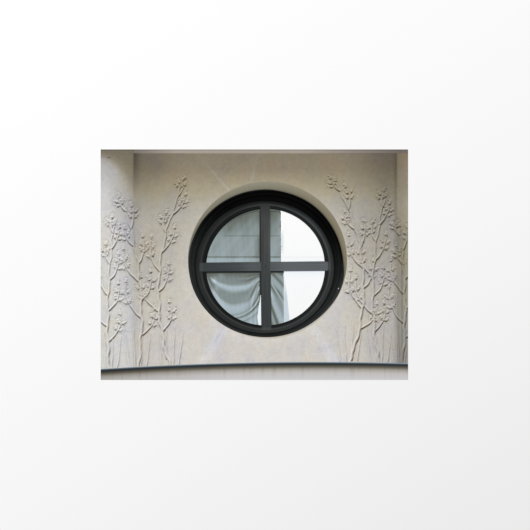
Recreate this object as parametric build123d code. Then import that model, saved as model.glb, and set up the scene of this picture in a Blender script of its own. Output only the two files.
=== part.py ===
from build123d import *
from dataclasses import dataclass
from math import cos, radians, sin
import os

# Printed wall decal: one sheet of self-adhesive film with a picture printed over all of its front.
# The picture is a round window of four panes in a pale stone wall, between two piers and over a plinth,
# with leafy sprays at both sides.
# X is the width, Z is up and the print faces -Y. The origin is the middle of the adhesive back.
# The print is made of fields of ink in four coats. The fields of one coat lie side by side, and each
# field lies on the coat below it.

# Sheet
SHEET_WIDTH = 609.6
SHEET_HEIGHT = 457.2
FILM_THICKNESS = 0.20
INK_THICKNESS = 0.03

# Bowed lines of the picture, each drawn in straight spans
BOWED_SPANS = 12

# Stone fields
LEFT_PIER_WIDTH = 65.0
RIGHT_PIER_WIDTH = 22.0
HEAD_BAND_HEIGHT = 7.0
WALL_SHADE_HEIGHT = 75.0
PIER_SHADE_OUTER_HEIGHT = 18.0
PIER_SHADE_INNER_HEIGHT = 84.0
PIER_SHADE_BOW = 11.0
PIER_LINE_WIDTH = 3.0
PIER_LINE_HEIGHT = 130.0

# Ledge, shallowly arched over the plinth, by its height above the sheet's bottom edge
LEDGE_LEFT_HEIGHT = 21.9
LEDGE_MIDDLE_HEIGHT = 34.8
LEDGE_RIGHT_HEIGHT = 33.3
LEDGE_SPANS = 16
LEDGE_LINE_HEIGHT = 5.0
LEDGE_SHADE_HEIGHT = 9.0

# Window opening in the stone, seen a little from below, so that each ring has its own width on each side
OPENING_X = 26.0
OPENING_Z = 9.4
OPENING_WIDTH = 315.4
OPENING_HEIGHT = 311.4
REVEAL_LEFT = 1.0
REVEAL_RIGHT = 6.6
REVEAL_TOP = 17.0
REVEAL_BOTTOM = 2.4
FRAME_LEFT = 14.9
FRAME_RIGHT = 19.3
FRAME_TOP = 21.7
FRAME_BOTTOM = 8.6
SASH_LEFT = 14.1
SASH_RIGHT = 12.2
SASH_TOP = 9.9
SASH_BOTTOM = 11.1
REBATE_LEFT = 6.1
REBATE_RIGHT = 6.0
REBATE_TOP = 8.7
REBATE_BOTTOM = 4.1

# Glazing bars, crossing a little above the middle of the glass
UPRIGHT_BAR_WIDTH = 19.8
UPRIGHT_BAR_LEAN = 1.5
CROSS_BAR_WIDTH = 17.5
CROSS_BAR_RISE = 1.0
CROSSING_RAISED = 2.5
BAR_SHADOW_WIDTH = 2.6

# Curtains behind the glass, by their reach from the middle of the upright bar
UPPER_CURTAIN_REACH = 30.3
LOWER_CURTAIN_REACH = 36.8
GAUZE_FOOT_WIDTH = 12.0
CURTAIN_GAP_TOP = 56.0
CURTAIN_GAP_FOOT_WIDTH = 8.5
SWAG_SAG = 24.0
SWAG_WIDTH = 7.0
BLIND_LINE_WIDTH = 1.6
BLIND_LINE_HEIGHTS = (18.9, 61.3)
FOLD_WIDTH = 3.4
FOLD_TOP = 21.0
LEFT_FOLD_HEADINGS = (222.0, 233.0, 243.0, 252.0, 260.0)
LEFT_FOLD_LENGTH = 86.0
RIGHT_FOLD_HEADINGS = (-46.0, -57.0, -68.0, -79.0)
RIGHT_FOLD_LENGTH = 80.0

# Joints between the stone blocks
JOINT_WIDTH = 1.2
RADIAL_JOINT_LENGTH = 40.0
RADIAL_JOINT_HEADINGS = (52.0, 97.0, 131.0, 237.0, 305.0)
BED_JOINT_HEIGHT = 95.6

# Sprays: stems rise from the ledge between blades of grass, and bear leafy twigs at both sides by turns
STEM_WIDTH = 3.6
STEM_SPANS = 10
TWIG_WIDTH = 2.6
TWIG_SPANS = 3
TWIG_COUNT = 8
TWIG_FIRST_SHARE = 0.20
TWIG_LAST_SHARE = 0.96
TWIG_LOW_LENGTH = 78.0
TWIG_HIGH_LENGTH = 28.0
TWIG_LENGTH_VARIATION = 0.28
TWIG_LOW_SPREAD = 60.0
TWIG_HIGH_SPREAD = 36.0
TWIG_LOW_CURL = 64.0
TWIG_HIGH_CURL = 42.0
LEAF_LENGTH = 12.5
LEAF_WIDTH = 4.8
LEAF_SPREAD = 38.0
LEAF_GAP = 1.5
LEAF_SPACING = 0.26
LEAVES_ON_TWIG = 3
SMALLEST_SPOT = 0.5
GRASS_COUNT = 4
GRASS_WIDTH = 2.0
GRASS_SPANS = 3
GRASS_LENGTH = 84.0
GRASS_SPACING = 10.0
GRASS_LEAN = 9.0
GRASS_CURL = 8.0
GOLDEN_SHARE = 0.618

# Stems of the left and the right spray, from the sheet's edge to the window: distance from that edge,
# heading, length and turn
LEFT_STEMS = ((16.0, 93.0, 285.0, -10.0), (74.0, 82.0, 330.0, 26.0), (138.0, 108.0, 365.0, -44.0))
RIGHT_STEMS = ((12.0, 84.0, 270.0, 14.0), (58.0, 100.0, 330.0, -24.0), (118.0, 68.0, 370.0, 52.0))


@dataclass
class Oval:
    """A round outline of the window, by its middle and its half width and half height."""
    x: float
    z: float
    half_width: float
    half_height: float

    def face(self):
        return Pos(self.x, self.z) * Ellipse(self.half_width, self.half_height)

    def inset(self, left, right, top, bottom):
        """The oval that lies inside this one by the given width on each side."""
        return Oval(self.x + (left - right)/2, self.z + (bottom - top)/2,
                    self.half_width - (left + right)/2, self.half_height - (top + bottom)/2)


@dataclass
class Run:
    """A stem's line: a circular arc from its foot, by its heading there, length and turn, in degrees."""
    x: float
    z: float
    heading: float
    length: float
    turn: float

    def at(self, share):
        """Place and heading at a share of the length."""
        start, end = radians(self.heading), radians(self.heading + self.turn*share)
        radius = self.length/radians(self.turn)
        return (self.x + radius*(sin(end) - sin(start)), self.z - radius*(cos(end) - cos(start)),
                self.heading + self.turn*share)


# Places that several fields share
LEFT_EDGE, RIGHT_EDGE = -SHEET_WIDTH/2, SHEET_WIDTH/2
BOTTOM_EDGE, TOP_EDGE = -SHEET_HEIGHT/2, SHEET_HEIGHT/2
PIER_X = LEFT_EDGE + LEFT_PIER_WIDTH
OPENING = Oval(OPENING_X, OPENING_Z, OPENING_WIDTH/2, OPENING_HEIGHT/2)
FRAME = OPENING.inset(REVEAL_LEFT, REVEAL_RIGHT, REVEAL_TOP, REVEAL_BOTTOM)
SASH = FRAME.inset(FRAME_LEFT, FRAME_RIGHT, FRAME_TOP, FRAME_BOTTOM)
REBATE = SASH.inset(SASH_LEFT, SASH_RIGHT, SASH_TOP, SASH_BOTTOM)
GLASS = REBATE.inset(REBATE_LEFT, REBATE_RIGHT, REBATE_TOP, REBATE_BOTTOM)
BAR_X, BAR_Z = GLASS.x, GLASS.z + CROSSING_RAISED


def polar(x, z, heading, distance):
    """The point at a distance from a place, in the direction of a heading."""
    return x + distance*cos(radians(heading)), z + distance*sin(radians(heading))


def bowed(start, end, bow):
    """Points of a parabola between two places, which bows to the left of its way by the given height."""
    across, up = end[0] - start[0], end[1] - start[1]
    chord = (across*across + up*up)**0.5
    points = []
    for span in range(BOWED_SPANS + 1):
        share = span/BOWED_SPANS
        aside = 4*bow*share*(1 - share)/chord
        points.append((start[0] + across*share - up*aside, start[1] + up*share + across*aside))
    return points


def box(left, right, bottom, top):
    return Pos((left + right)/2, (bottom + top)/2) * Rectangle(right - left, top - bottom)


def sheet():
    return box(LEFT_EDGE, RIGHT_EDGE, BOTTOM_EDGE, TOP_EDGE)


def within(field, area):
    """The part of a field that lies in an area, without edges along which the two only touch."""
    return Sketch() + (field & area).faces()


def ledge_top(x):
    """Height of the ledge's top edge at a place across the sheet: a parabola through its ends and middle."""
    share = x/RIGHT_EDGE
    middle, left, right = LEDGE_MIDDLE_HEIGHT, LEDGE_LEFT_HEIGHT, LEDGE_RIGHT_HEIGHT
    return BOTTOM_EDGE + middle + (right - left)/2*share + ((left + right)/2 - middle)*share*share


def below_ledge(drop):
    """All of the sheet that lies under the ledge's top edge, lowered by the drop."""
    places = [LEFT_EDGE + SHEET_WIDTH*span/LEDGE_SPANS for span in range(LEDGE_SPANS + 1)]
    foot = BOTTOM_EDGE - SHEET_HEIGHT
    corners = [(RIGHT_EDGE, foot), (LEFT_EDGE, foot)]
    return Polygon([(x, ledge_top(x) - drop) for x in places] + corners) & sheet()


def pier_shade_area():
    """The shadow of the head band on the left pier, down to a bowed line across the pier."""
    outer = (LEFT_EDGE, TOP_EDGE - PIER_SHADE_OUTER_HEIGHT)
    inner = (PIER_X, TOP_EDGE - PIER_SHADE_INNER_HEIGHT)
    return Polygon(bowed(outer, inner, PIER_SHADE_BOW) + [(PIER_X, TOP_EDGE), (LEFT_EDGE, TOP_EDGE)])


def stone_fields():
    """The first coat, which covers the whole sheet: the stone above the ledge, the ledge and the plinth."""
    line_top = TOP_EDGE - HEAD_BAND_HEIGHT
    pier_line = box(PIER_X - PIER_LINE_WIDTH/2, PIER_X + PIER_LINE_WIDTH/2, line_top - PIER_LINE_HEIGHT, line_top)
    stone = sheet() - below_ledge(0) - pier_line
    left_pier = stone & box(LEFT_EDGE, PIER_X, BOTTOM_EDGE, TOP_EDGE)
    wall = stone - left_pier
    head_band = wall & box(PIER_X, RIGHT_EDGE, TOP_EDGE - HEAD_BAND_HEIGHT, TOP_EDGE)
    wall = wall - head_band
    right_pier = wall & box(RIGHT_EDGE - RIGHT_PIER_WIDTH, RIGHT_EDGE, BOTTOM_EDGE, TOP_EDGE)
    wall = wall - right_pier
    shade_foot = TOP_EDGE - HEAD_BAND_HEIGHT - WALL_SHADE_HEIGHT
    wall_shade = wall & box(PIER_X, RIGHT_EDGE, shade_foot, TOP_EDGE)
    pier_shade = left_pier & pier_shade_area()
    shade_drop = LEDGE_LINE_HEIGHT + LEDGE_SHADE_HEIGHT
    return {
        "print_wall": wall - wall_shade,
        "print_wall_shade": wall_shade,
        "print_head_band": head_band,
        "print_left_pier": left_pier - pier_shade,
        "print_pier_shade": pier_shade,
        "print_right_pier": right_pier,
        "print_pier_line": pier_line,
        "print_ledge_line": below_ledge(0) - below_ledge(LEDGE_LINE_HEIGHT),
        "print_ledge_shade": below_ledge(LEDGE_LINE_HEIGHT) - below_ledge(shade_drop),
        "print_plinth": below_ledge(shade_drop),
    }


def blade(run, width, spans):
    """A stem, twig or blade of grass: it follows its run in straight spans and narrows evenly to its tip."""
    left, right = [], []
    for span in range(spans + 1):
        share = span/spans
        x, z, heading = run.at(share)
        left.append(polar(x, z, heading + 90, width/2*(1 - share)))
        right.append(polar(x, z, heading - 90, width/2*(1 - share)))
    return Polygon(right + left[-2::-1])


def leaf_shape(x, z, heading):
    """A small pointed leaf, widest at the middle of its length."""
    base = polar(x, z, heading, LEAF_GAP)
    middle = polar(*base, heading, LEAF_LENGTH/2)
    tip = polar(*base, heading, LEAF_LENGTH)
    return Polygon(base, polar(*middle, heading - 90, LEAF_WIDTH/2), tip, polar(*middle, heading + 90, LEAF_WIDTH/2))


def between(low, high, share):
    return low + (high - low)*share


def twigs(stem):
    """The twigs of a stem: shorter and closer to it towards its tip, and curling upwards."""
    runs = []
    for place in range(TWIG_COUNT):
        climb = place/(TWIG_COUNT - 1)
        side = 1 if place % 2 else -1
        x, z, heading = stem.at(between(TWIG_FIRST_SHARE, TWIG_LAST_SHARE, climb))
        varied = 1 + TWIG_LENGTH_VARIATION*(2*(place*GOLDEN_SHARE % 1) - 1)
        runs.append(Run(x, z, heading + side*between(TWIG_LOW_SPREAD, TWIG_HIGH_SPREAD, climb),
                        between(TWIG_LOW_LENGTH, TWIG_HIGH_LENGTH, climb)*varied,
                        -side*between(TWIG_LOW_CURL, TWIG_HIGH_CURL, climb)))
    return runs


def leaf_places(run):
    """The leaves of a twig, from its tip down: one straight on, and the others at both sides by turns."""
    places = []
    for order in range(LEAVES_ON_TWIG):
        x, z, heading = run.at(1 - LEAF_SPACING*order)
        side = 1 if order % 2 else -1
        places.append((x, z, heading + (side*LEAF_SPREAD if order else 0)))
    return places


def rising(x, line):
    """A stem's run from a foot just under the ledge's top edge, where the ledge cuts it off."""
    return Run(x, ledge_top(x) - STEM_WIDTH, *line)


def grass(stem):
    """Blades of grass around a stem's foot, leaning away from it and longest beside it."""
    runs = []
    for place in range(GRASS_COUNT):
        out = place - (GRASS_COUNT - 1)/2
        length = GRASS_LENGTH*(1 - abs(out)/GRASS_COUNT/2)
        line = (90 - out*GRASS_LEAN, length, out*GRASS_CURL)
        runs.append(rising(stem.x + out*GRASS_SPACING, line))
    return runs


def printable(field):
    """The field without the spots that overlapping leaves leave over and that are too small to print."""
    return Sketch() + [spot for spot in field.faces() if spot.area > SMALLEST_SPOT]


def spray(stems):
    """One side's spray in the second coat: the grass, the stems with their twigs, and the leaves."""
    area = sheet() - below_ledge(0) - OPENING.face()
    shoots = [run for stem in stems for run in twigs(stem)]
    blades = [blade(stem, STEM_WIDTH, STEM_SPANS) for stem in stems]
    blades += [blade(run, TWIG_WIDTH, TWIG_SPANS) for run in shoots]
    tufts = [blade(run, GRASS_WIDTH, GRASS_SPANS) for stem in stems for run in grass(stem)]
    leaves = [leaf_shape(*place) for run in shoots for place in leaf_places(run)]
    leaves += [leaf_shape(*stem.at(1)) for stem in stems]
    stem_field = (Sketch() + blades) & area
    grass_field = (Sketch() + tufts) & area
    leaf_field = printable(((Sketch() + leaves) & area) - stem_field)
    return stem_field, leaf_field, printable(grass_field - stem_field - leaf_field)


def joint_fields():
    """Joints of the stone: rays from the window, and a bed joint and an upright joint at the left pier."""
    rays = [Pos(*polar(OPENING.x, OPENING.z, heading, OPENING_WIDTH/2 + RADIAL_JOINT_LENGTH/2)) *
            Rot(0, 0, heading) * Rectangle(RADIAL_JOINT_LENGTH, JOINT_WIDTH) for heading in RADIAL_JOINT_HEADINGS]
    bed_z = BOTTOM_EDGE + BED_JOINT_HEIGHT
    bed = box(LEFT_EDGE, PIER_X, bed_z - JOINT_WIDTH/2, bed_z + JOINT_WIDTH/2)
    upright = box(PIER_X - JOINT_WIDTH/2, PIER_X + JOINT_WIDTH/2, BOTTOM_EDGE, bed_z)
    return (Sketch() + rays + [bed, upright]) - OPENING.face() - below_ledge(0)


def surface_fields():
    """The second coat: what is drawn on the stone, and the window's opening."""
    left_stems, left_leaves, left_grass = spray([rising(LEFT_EDGE + away, line) for away, *line in LEFT_STEMS])
    right_stems, right_leaves, right_grass = spray([rising(RIGHT_EDGE - away, line) for away, *line in RIGHT_STEMS])
    sprays = left_stems + left_leaves + left_grass + right_stems + right_leaves + right_grass
    return {
        "print_reveal": OPENING.face() - FRAME.face(),
        "print_frame": FRAME.face(),
        "print_joints": printable(joint_fields() - sprays),
        "print_left_stems": left_stems,
        "print_left_leaves": left_leaves,
        "print_left_grass": left_grass,
        "print_right_stems": right_stems,
        "print_right_leaves": right_leaves,
        "print_right_grass": right_grass,
    }


def curtain_area():
    """The curtains behind the glass: left of the upright bar, a little right of it, and a gap beside it."""
    low, high = GLASS.z - GLASS.half_height, GLASS.z + GLASS.half_height
    upper = box(GLASS.x - GLASS.half_width, BAR_X + UPPER_CURTAIN_REACH, BAR_Z, high)
    lower = box(GLASS.x - GLASS.half_width, BAR_X + LOWER_CURTAIN_REACH, low, BAR_Z)
    side = BAR_X - UPRIGHT_BAR_WIDTH/2
    gap = Polygon((side, BAR_Z - CURTAIN_GAP_TOP), (side - CURTAIN_GAP_FOOT_WIDTH, low), (BAR_X, low),
                  (BAR_X, BAR_Z - CURTAIN_GAP_TOP))
    return (upper + lower - gap) & GLASS.face()


def gauze_area():
    """The thin edge of the lower right curtain, which widens towards its foot."""
    edge, low = BAR_X + LOWER_CURTAIN_REACH, GLASS.z - GLASS.half_height
    return Polygon((edge, BAR_Z), (edge, low), (edge + GAUZE_FOOT_WIDTH, low)) & GLASS.face()


def window_fields():
    """The third coat, all over the window's black frame but for its rim: sash, rebate and panes."""
    curtain, gauze = curtain_area(), gauze_area()
    return {
        "print_sash": SASH.face() - REBATE.face(),
        "print_rebate": REBATE.face() - GLASS.face(),
        "print_sky": GLASS.face() - curtain - gauze,
        "print_curtain": curtain,
        "print_gauze": gauze,
    }


def glazing_bar_area():
    """The upright bar, which leans a little, and the cross bar, which rises a little to the right."""
    low, high = REBATE.z - REBATE.half_height, REBATE.z + REBATE.half_height
    far_left, far_right = REBATE.x - REBATE.half_width, REBATE.x + REBATE.half_width
    half, lean = UPRIGHT_BAR_WIDTH/2, UPRIGHT_BAR_LEAN
    upright = Polygon((BAR_X - half + lean, low), (BAR_X + half + lean, low), (BAR_X + half - lean, high),
                      (BAR_X - half - lean, high))
    half, rise = CROSS_BAR_WIDTH/2, CROSS_BAR_RISE
    cross = Polygon((far_left, BAR_Z - half - rise), (far_right, BAR_Z - half + rise),
                    (far_right, BAR_Z + half + rise), (far_left, BAR_Z + half - rise))
    return (upright + cross) & REBATE.face()


def fold_blade(heading, length, side):
    """A fold of the gathered curtain, from where it's gathered beside the upright bar out to its width."""
    x, z = BAR_X + side*UPRIGHT_BAR_WIDTH/2, BAR_Z - FOLD_TOP
    foot = polar(x, z, heading, length)
    return Polygon((x, z), polar(*foot, heading - 90, FOLD_WIDTH/2), polar(*foot, heading + 90, FOLD_WIDTH/2))


def swag_area():
    """The light swag over the lower left curtain, between two lines that sag from its ends."""
    left, right = (GLASS.x - GLASS.half_width, BAR_Z - FOLD_TOP), (BAR_X, BAR_Z - FOLD_TOP)
    lower, upper = bowed(left, right, -SWAG_SAG), bowed(right, left, SWAG_SAG - SWAG_WIDTH)
    return Polygon(lower + upper[1:-1])


def pane_line_fields():
    """The fourth coat: the glazing bars over the glass, and the folds and lines on the curtains."""
    bars, curtain = glazing_bar_area(), curtain_area()
    far_left, far_right = REBATE.x - REBATE.half_width, REBATE.x + REBATE.half_width
    half, rise = CROSS_BAR_WIDTH/2, CROSS_BAR_RISE
    shadow = Polygon((far_left, BAR_Z - half - rise - BAR_SHADOW_WIDTH),
                     (far_right, BAR_Z - half + rise - BAR_SHADOW_WIDTH),
                     (far_right, BAR_Z), (far_left, BAR_Z)) & GLASS.face()
    shadow = shadow - bars
    swag = within(swag_area(), curtain) - bars - shadow
    folds = [fold_blade(heading, LEFT_FOLD_LENGTH, -1) for heading in LEFT_FOLD_HEADINGS]
    folds += [fold_blade(heading, RIGHT_FOLD_LENGTH, 1) for heading in RIGHT_FOLD_HEADINGS]
    lines = [box(far_left, far_right, BAR_Z + height - BLIND_LINE_WIDTH/2, BAR_Z + height + BLIND_LINE_WIDTH/2)
             for height in BLIND_LINE_HEIGHTS]
    return {
        "print_glazing_bars": bars,
        "print_bar_shadow": shadow,
        "print_swag": swag,
        "print_curtain_folds": within(Sketch() + folds, curtain) - bars - shadow - swag,
        "print_blind_lines": within(Sketch() + lines, curtain) - bars,
    }


def inked(field, coat):
    """A field of ink, cut at the sheet's edges, on the film's front with the given number of coats below it."""
    front = Plane.XZ.offset(FILM_THICKNESS + coat*INK_THICKNESS)
    return extrude(front * (field & sheet()), amount=INK_THICKNESS, dir=(0, -1, 0))


def film():
    """The sheet itself, with its adhesive, from the back in the plane of X and Z to the first coat."""
    return extrude(Plane.XZ * sheet(), amount=FILM_THICKNESS, dir=(0, -1, 0))


os.makedirs("parts", exist_ok=True)
export_step(film(), "parts/film.step")
for coat, fields in enumerate((stone_fields(), surface_fields(), window_fields(), pane_line_fields())):
    for name, field in fields.items():
        export_step(inked(field, coat), f"parts/{name}.step")
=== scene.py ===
import math

import bpy
import numpy as np
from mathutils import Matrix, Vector


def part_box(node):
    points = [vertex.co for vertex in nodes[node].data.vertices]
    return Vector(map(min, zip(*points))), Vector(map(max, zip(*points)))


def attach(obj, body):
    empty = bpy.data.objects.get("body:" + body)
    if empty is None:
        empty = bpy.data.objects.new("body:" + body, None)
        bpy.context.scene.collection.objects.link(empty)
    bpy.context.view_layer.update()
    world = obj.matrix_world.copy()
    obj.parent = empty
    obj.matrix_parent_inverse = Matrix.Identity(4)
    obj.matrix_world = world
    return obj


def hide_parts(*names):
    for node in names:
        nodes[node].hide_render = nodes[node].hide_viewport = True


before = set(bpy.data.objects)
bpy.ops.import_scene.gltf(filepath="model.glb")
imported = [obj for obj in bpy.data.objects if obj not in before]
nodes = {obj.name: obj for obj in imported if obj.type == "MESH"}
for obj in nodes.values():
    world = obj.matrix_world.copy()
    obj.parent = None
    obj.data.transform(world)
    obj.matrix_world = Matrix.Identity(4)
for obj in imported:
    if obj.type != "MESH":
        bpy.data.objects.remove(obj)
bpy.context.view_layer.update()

# Film
# One sheet of white self-adhesive vinyl, calendered and cut square. Its cut edges and its back, which
# carries the clear adhesive, stay white; the picture is printed on its front in coats of matt ink.

LOW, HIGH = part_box("film")


def linear(sheet_colour):
    """A colour written as sRGB hex, as the linear values that a shader takes."""
    parts = [int(sheet_colour[place:place + 2], 16)/255 for place in (1, 3, 5)]
    return tuple(part/12.92 if part <= 0.04045 else ((part + 0.055)/1.055)**2.4 for part in parts) + (1.0,)


def add(tree, kind, *values, out=0, sockets=None, stops=None, **settings):
    """Add a node with its settings. The values go to its sockets in order, and the rest by number or name;
    one that is another node's output is linked. A colour ramp's stops are written in the unit of its value,
    which a node before it turns to shares. Returns the output that the next node takes."""
    if stops:
        first, last = stops[0][0], stops[-1][0]
        values = (add(tree, "MapRange", values[0], first, last),)
    node = tree.nodes.new("ShaderNode" + kind)
    for name, value in settings.items():
        setattr(node, name, value)
    for name, value in (dict(enumerate(values)) | (sockets or {})).items():
        if isinstance(value, bpy.types.NodeSocket):
            tree.links.new(value, node.inputs[name])
        else:
            node.inputs[name].default_value = value
    if stops:
        marks = node.color_ramp.elements
        marks.remove(marks[1])
        marks[0].position, marks[0].color = 0.0, linear(stops[0][1])
        for stop, colour in stops[1:]:
            marks.new((stop - first)/(last - first)).color = linear(colour)
    return node.outputs[out] if node.outputs else None


def finish(name, paint, roughness, gloss):
    """A material with one shader on the film's fine matt skin. Its paint function works out the colour from
    the place, and from how far that is across and up."""
    material = bpy.data.materials.new(name)
    material.use_nodes = True
    tree = material.node_tree
    tree.nodes.clear()
    place = add(tree, "TexCoord", out=3)
    x = add(tree, "SeparateXYZ", place)
    # The skin's dimples are 0.3 mm on the real film, and drawn 2 mm wide, so that they show
    skin = add(tree, "TexNoise", sockets={"Vector": place, "Scale": 1/0.002, "Detail": 1.0})
    bump = add(tree, "Bump", sockets={"Height": skin, "Strength": 0.10, "Distance": 0.00005})
    colour = paint(tree, place, x, x.node.outputs[2])
    shader = add(tree, "BsdfPrincipled", sockets={"Base Color": colour, "Roughness": roughness,
                                                  "Specular IOR Level": gloss, "Normal": bump})
    add(tree, "OutputMaterial", shader)
    return material


def dress(material, *names):
    """Give CAD nodes their material."""
    for name in names:
        nodes[name].data.materials.clear()
        nodes[name].data.materials.append(material)


def white_vinyl(tree, place, *_):
    """White vinyl with a faint grey cloud, 60 mm across, from the rollers that pressed it."""
    cloud = add(tree, "TexNoise", sockets={"Vector": place, "Scale": 1/0.060, "Detail": 2.0})
    return add(tree, "ValToRGB", cloud, stops=((0.30, "#edeeec"), (0.70, "#f2f3f1")))


dress(finish("white_vinyl_film", white_vinyl, 0.45, 0.35), "film")

# Stone
# The picture's wall and piers are pale limestone, sawn and rubbed, printed dot by dot in matt ink. The wall
# darkens to brown in the painted shadow of its head, the left pier under a bowed painted shadow, and the
# corners between them in painted shade too.

# The matt ink's roughness and gloss, and the part of its range that a noise mostly stays in
MATT_INK, NOISE_SPAN = (0.6, 0.08), (0.3, 0.7)
PIER_X = sum(corner.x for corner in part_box("print_pier_line"))/2
RIGHT_PIER_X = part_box("print_right_pier")[0].x
PIER_EDGE, PIER_SHADE = 0.001, 0.120
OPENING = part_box("print_reveal")
# Each of the two bands of lime bloom and the two fine lines of painted highlight has a heading in degrees,
# its distance beside the opening's middle, its start, its half width and its tint
LIME_AND_HIGHLIGHTS = ((237.5, 0.0, 0.150, 0.014, (1.06, 1.08, 1.14)), (303.5, 0.0, 0.150, 0.014, (1.06, 1.08, 1.14)),
        (131.4, -0.0342, 0.140, 0.0045, (1.13, 1.15, 1.25)),
        (76.5, 0.0677, 0.135, 0.0045, (1.14, 1.17, 1.28)))


def from_ring(tree, place, low, high):
    """Distance from the middle of an oval, where its edge is at one."""
    middle, half = (low + high)/2, (high - low)/2
    shares = add(tree, "Mapping", place, (-middle.x/half.x, 0.0, -middle.z/half.z),
                 sockets={3: (1/half.x, 0.0, 1/half.z)})
    return add(tree, "VectorMath", shares, out=1, operation="LENGTH")


def within(tree, *shares):
    """Product of shares. One in brackets runs by its value, from nothing at a start to the whole at an end,
    or between the two amounts after these."""
    product, *others = [add(tree, "MapRange", *share) if isinstance(share, tuple) else share
                        for share in shares]
    for other in others:
        product = add(tree, "Math", product, other, operation="MULTIPLY")
    return product


def shaded(tree, colour, nearness, amount):
    """A colour times one plus an amount, which is less than zero for a shade, as far as the nearness goes."""
    light = add(tree, "Math", within(tree, nearness), within(tree, amount), 1.0, operation="MULTIPLY_ADD")
    return add(tree, "VectorMath", colour, light, operation="MULTIPLY")


def blended(tree, value, start, end, before, after):
    """One colour before a start, another after an end, and a blend between them, by a value."""
    share = add(tree, "MapRange", value, start, end)
    return add(tree, "Mix", out=2, data_type="RGBA", sockets={0: share, 6: before, 7: after})


def tinted(tree, colour, share, tint):
    """A colour, and where a share is whole, that colour times a tint."""
    product = add(tree, "VectorMath", colour, tint, operation="MULTIPLY")
    return add(tree, "Mix", out=2, data_type="RGBA", sockets={0: within(tree, share), 6: colour, 7: product})



def away(tree, value, middle):
    """How far a value is from a middle, to either side."""
    return add(tree, "Math", add(tree, "Math", value, middle, operation="SUBTRACT"), operation="ABSOLUTE")


def uneven(tree, colour, place, size, share):
    """A colour whose lightness wanders by a share either way, between spots of a size in metres."""
    spots = add(tree, "TexNoise", sockets={"Vector": place, "Scale": 1/size, "Detail": 2.0})
    light = add(tree, "MapRange", spots, *NOISE_SPAN, 1 - share, 1 + share)
    return add(tree, "VectorMath", colour, light, operation="MULTIPLY")


def wall_stone(tree, place, x, z):
    """Brown in the head's painted shadow and pale below. Its ends lie in the piers' shade, with a dark line
    of painted shade in the corner at the right, and the opening's arris has a painted highlight. The first 2
    mm under the moulding are light too, as they are its foot."""
    stone = add(tree, "ValToRGB", z, stops=(
        (-0.185, "#cecac5"), (-0.100, "#cbc7c0"), (-0.035, "#c5c1b8"), (0.010, "#bdb8ae"), (0.095, "#b3aea4"),
        (0.112, "#b0ab9e"), (0.130, "#aaa494"), (0.142, "#a69e8a"), (0.156, "#a19881"), (0.170, "#998f79"),
        (0.188, "#8b816e"), (0.222, "#837969")))
    for end, pier, amount in ((PIER_X + PIER_SHADE, PIER_X, (z, 0.080, 0.200, -0.08, -0.38)),
                              (RIGHT_PIER_X - PIER_SHADE, RIGHT_PIER_X, (z, 0.0, 0.2, -0.24, -0.46))):
        near = add(tree, "MapRange", x, end, pier, interpolation_type="SMOOTHSTEP")
        stone = shaded(tree, stone, near, amount)
    # Painted shade in the corner against the right pier
    stone = shaded(tree, stone, (x, RIGHT_PIER_X - 0.009, RIGHT_PIER_X - 0.003), -0.22)
    # A painted highlight along the opening's arris
    arris = from_ring(tree, place, *OPENING)
    stone = shaded(tree, stone, (arris, 1.16, 1.0), 0.075)
    return shaded(tree, stone, (z, HIGH.z - 0.0098, HIGH.z - 0.0074), (x, 0.090, 0.170, 0.27, 0.0))


def left_pier_stone(tree, x, depth):
    """Pale, under a bowed shadow that hangs from the pier's top and deepens as a parabola to the right."""
    across = add(tree, "MapRange", x, LOW.x, PIER_X)
    square = add(tree, "Math", across, across, operation="MULTIPLY")
    reach = add(tree, "Math", square, 0.090, 0.020, operation="MULTIPLY_ADD")
    return add(tree, "ValToRGB", add(tree, "Math", depth, reach, operation="DIVIDE"), stops=(
        (0.0, "#736d5f"), (0.3, "#797261"), (0.6, "#878071"), (0.85, "#9d988c"), (1.1, "#aaa7a1"),
        (1.6, "#b3b1ae"), (2.6, "#bcbbb9"), (4.2, "#cac9c8"), (6.5, "#cfcecc"), (9.0, "#d0cfcc")))


def right_pier_stone(tree, x, z):
    """The narrow pier, seen in the shade of its own corner, with a dark quirk down the middle of its foot."""
    stone = add(tree, "ValToRGB", z, stops=(
        (-0.18, "#93908a"), (-0.11, "#98958a"), (0.02, "#928c7c"), (0.10, "#958e7e"), (0.12, "#989080"),
        (0.15, "#8f8670"), (0.19, "#84796a"), (0.222, "#7d715e")))
    stone = shaded(tree, stone, (x, RIGHT_PIER_X, HIGH.x, -0.12, 0.14), 1.0)
    aside = add(tree, "Math", x, RIGHT_PIER_X + 0.010, 0.002, operation="COMPARE")
    return shaded(tree, stone, aside, (z, 0.060, 0.0, 0.0, -0.20))


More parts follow.
